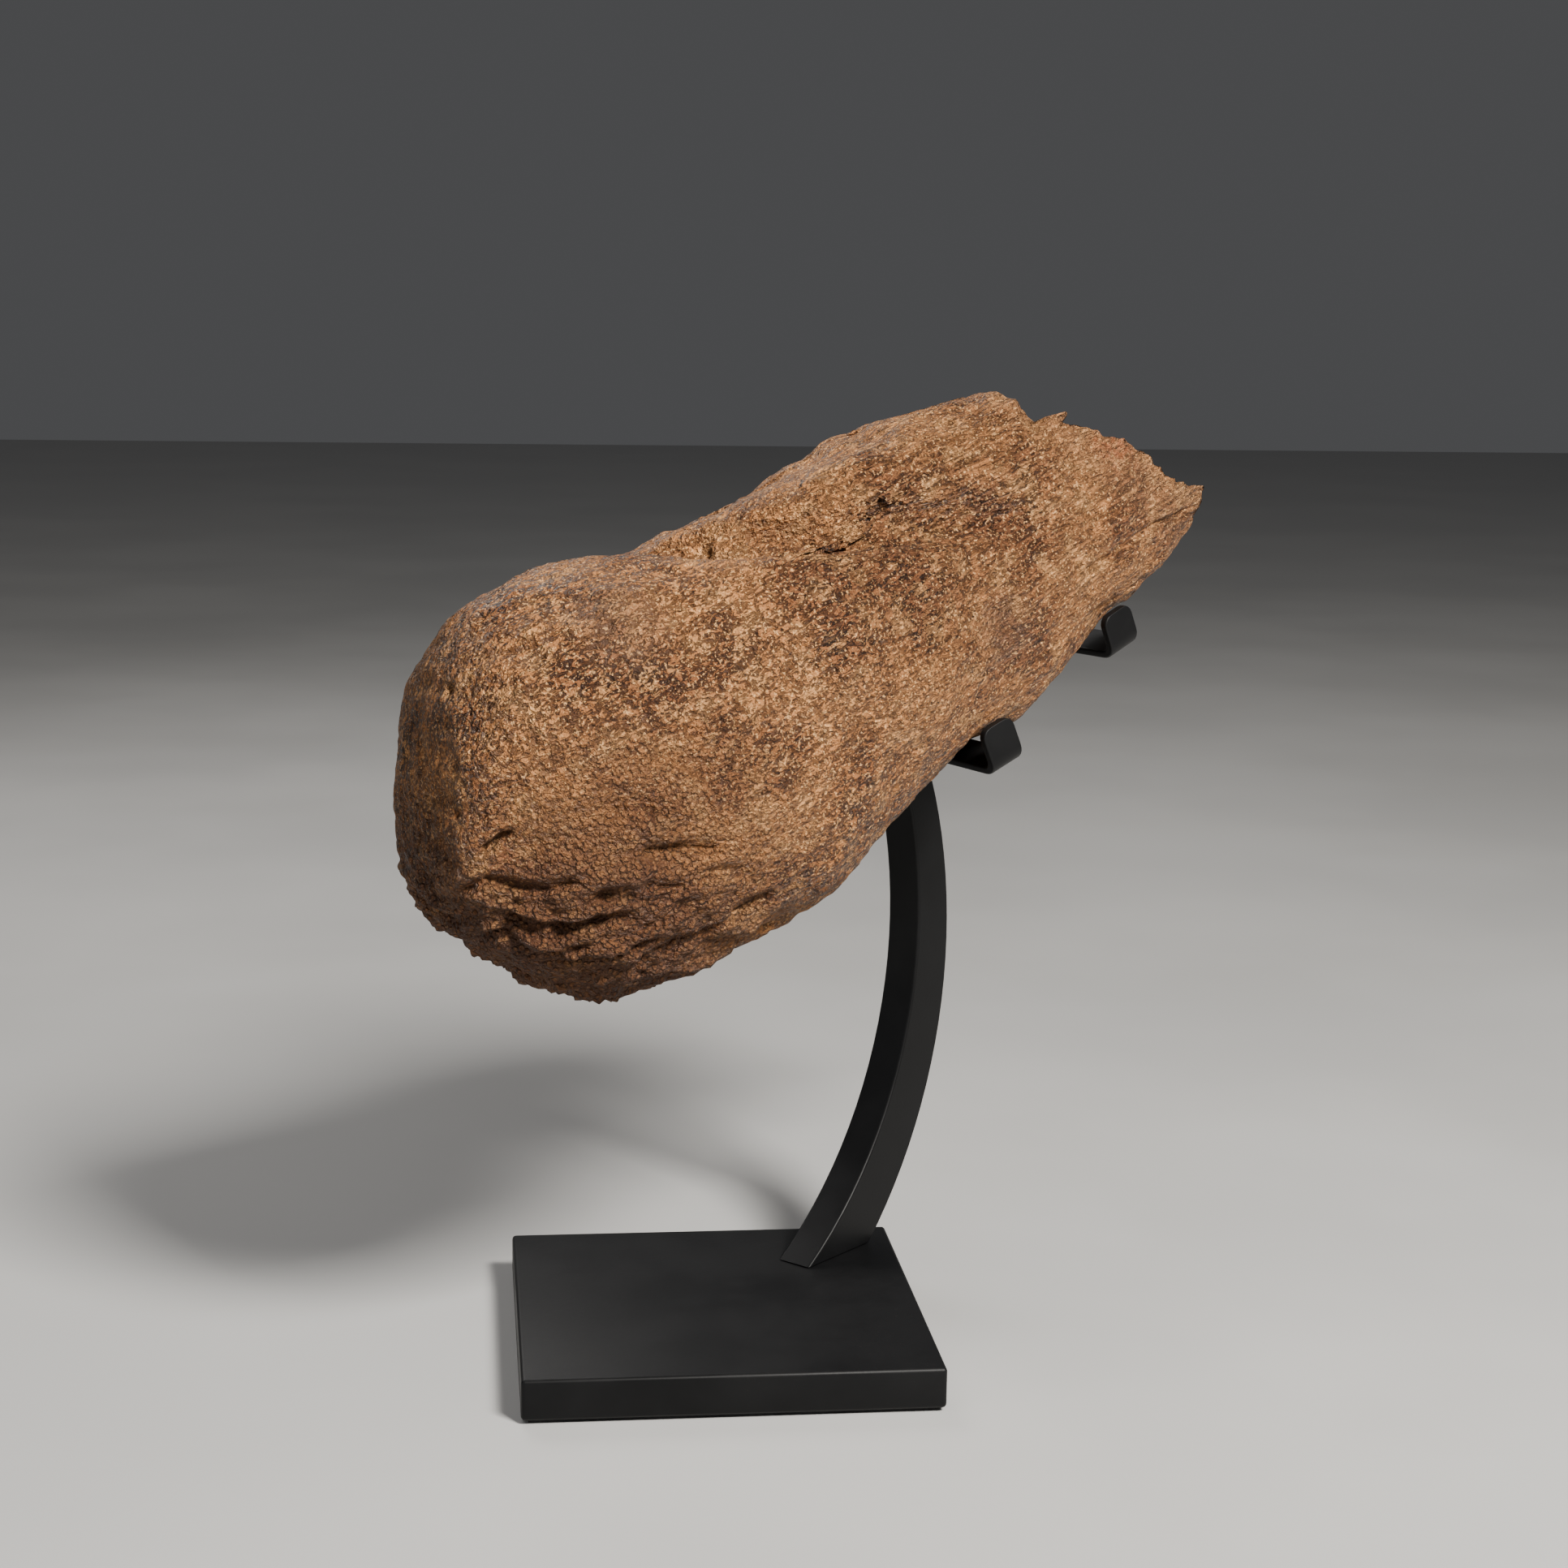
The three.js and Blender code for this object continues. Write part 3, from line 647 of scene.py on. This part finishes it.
class FOSSIL_OT_bars(bpy.types.Operator):
    """Models the arm, the cross bar, the rear prong and the two hooks with softened edges"""

    bl_idname = "fossil.bars"
    bl_label = "Bars and hooks"

    def execute(self, context):
        s = context.scene.fossil_stand
        for node, name in BARS.items():
            piece = copy_node(node, name)
            modify(
                piece, "BEVEL", width=s.bar_bevel, segments=2, limit_method="ANGLE", angle_limit=BAR_CORNER)
            select_only(piece)
            bpy.ops.object.shade_smooth_by_angle(angle=s.smooth)
            modify(piece, "WEIGHTED_NORMAL", keep_sharp=True)
            keep(piece, node, shared_steel(context.scene))
        return {"FINISHED"}


class FOSSIL_OT_pad(bpy.types.Operator):
    """Models the thin felt pad under the plate"""

    bl_idname = "fossil.pad"
    bl_label = "Felt pad"

    def execute(self, context):
        s = context.scene.fossil_stand
        low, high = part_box("felt_pad")
        side = high - low
        bpy.ops.object.select_all(action="DESELECT")
        bpy.ops.mesh.primitive_grid_add(x_subdivisions=PAD_GRID, y_subdivisions=PAD_GRID, size=1)
        piece = context.object
        piece.name = "pad"
        in_edit_mode(
            piece,
            lambda: bpy.ops.transform.resize(value=(side.x, side.y, 1), center_override=(0, 0, 0)),
            lambda: bpy.ops.mesh.extrude_region_move(TRANSFORM_OT_translate={"value": (0, 0, side.z)}),
            lambda: bpy.ops.mesh.select_all(action="SELECT"),
            lambda: bpy.ops.mesh.normals_make_consistent(inside=False))
        for corner in piece.data.vertices:
            edge = max(abs(corner.co.x) / high.x, abs(corner.co.y) / high.y)
            if edge > PAD_RIM:
                pull = 1 - PAD_FRAY * (1 + noise.noise(corner.co / (PAD_HAIR * MM)))
                corner.co.x *= pull
                corner.co.y *= pull
        select_only(piece)
        bpy.ops.object.shade_smooth_by_angle(angle=PAD_SMOOTH)
        keep(piece, "felt_pad", felt_paint(s))
        return {"FINISHED"}


class FOSSIL_OT_stage(bpy.types.Operator):
    """Lays the floor and sets the lights and the camera"""

    bl_idname = "fossil.stage"
    bl_label = "Stage"

    def execute(self, context):
        s = context.scene.fossil_stage
        bpy.ops.object.select_all(action="DESELECT")
        bpy.ops.mesh.primitive_grid_add(x_subdivisions=4, y_subdivisions=4, size=s.floor_side)
        floor = context.object
        floor.name = "floor"
        floor.data.materials.append(floor_paint(s))

        world = bpy.data.worlds.new("studio")
        world.use_nodes = True
        background = world.node_tree.nodes["Background"]
        background.inputs["Color"].default_value = s.sky
        background.inputs["Strength"].default_value = s.sky_strength
        context.scene.world = world
        for name, place, side, glow in LAMPS:
            light = bpy.data.lights.new(name, "AREA")
            light.size = side
            light.energy = getattr(s, name + "_power")
            light.color = glow
            lamp = bpy.data.objects.new(name, light)
            context.scene.collection.objects.link(lamp)
            lamp.location = place
            lamp.rotation_euler = (LAMP_TARGET - Vector(place)).to_track_quat("-Z", "Y").to_euler()

        data = bpy.data.cameras.new("camera")
        data.lens = s.lens / MM
        data.sensor_width = SENSOR
        data.clip_start = NEAR_END
        camera = bpy.data.objects.new("camera", data)
        context.scene.collection.objects.link(camera)
        ahead = CAMERA_RIGHT.cross(CAMERA_DOWN).normalized()
        turn = Matrix((CAMERA_RIGHT, -CAMERA_DOWN, -ahead)).transposed().to_4x4()
        camera.matrix_world = Matrix.Translation(CAMERA_PLACE) @ turn
        context.scene.camera = camera
        return {"FINISHED"}


class FOSSIL_PT_panel(bpy.types.Panel):
    """The add-on's settings and operators"""

    bl_idname = "FOSSIL_PT_panel"
    bl_label = "Fossil horn"
    bl_space_type = "VIEW_3D"
    bl_region_type = "UI"
    bl_category = "Fossil horn"

    def draw(self, context):
        for group in ("fossil_horn", "fossil_stand", "fossil_stage"):
            box = self.layout.box()
            settings = getattr(context.scene, group)
            for name in settings.bl_rna.properties.keys():
                if name not in ("rna_type", "name"):
                    box.prop(settings, name)
        for operator in OPERATORS:
            self.layout.operator(operator.bl_idname)


SETTINGS = {"fossil_horn": HornSettings, "fossil_stand": StandSettings, "fossil_stage": StageSettings}
OPERATORS = [FOSSIL_OT_plate, FOSSIL_OT_pad, FOSSIL_OT_bars, FOSSIL_OT_horn, FOSSIL_OT_stage]


def register():
    """Makes the settings, the operators and the panel known."""
    for group, kind in SETTINGS.items():
        bpy.utils.register_class(kind)
        setattr(bpy.types.Scene, group, bpy.props.PointerProperty(type=kind))
    bpy.types.Scene.fossil_steel = bpy.props.PointerProperty(type=bpy.types.Material)
    for kind in [*OPERATORS, FOSSIL_PT_panel]:
        bpy.utils.register_class(kind)


def unregister():
    """Takes them away again."""
    for kind in [FOSSIL_PT_panel, *reversed(OPERATORS)]:
        bpy.utils.unregister_class(kind)
    del bpy.types.Scene.fossil_steel
    for group, kind in SETTINGS.items():
        delattr(bpy.types.Scene, group)
        bpy.utils.unregister_class(kind)


def main():
    """Makes every piece in turn."""
    register()
    bpy.ops.fossil.plate()
    bpy.ops.fossil.pad()
    bpy.ops.fossil.bars()
    bpy.ops.fossil.horn()
    bpy.ops.fossil.stage()


if __name__ == "__main__":
    main()
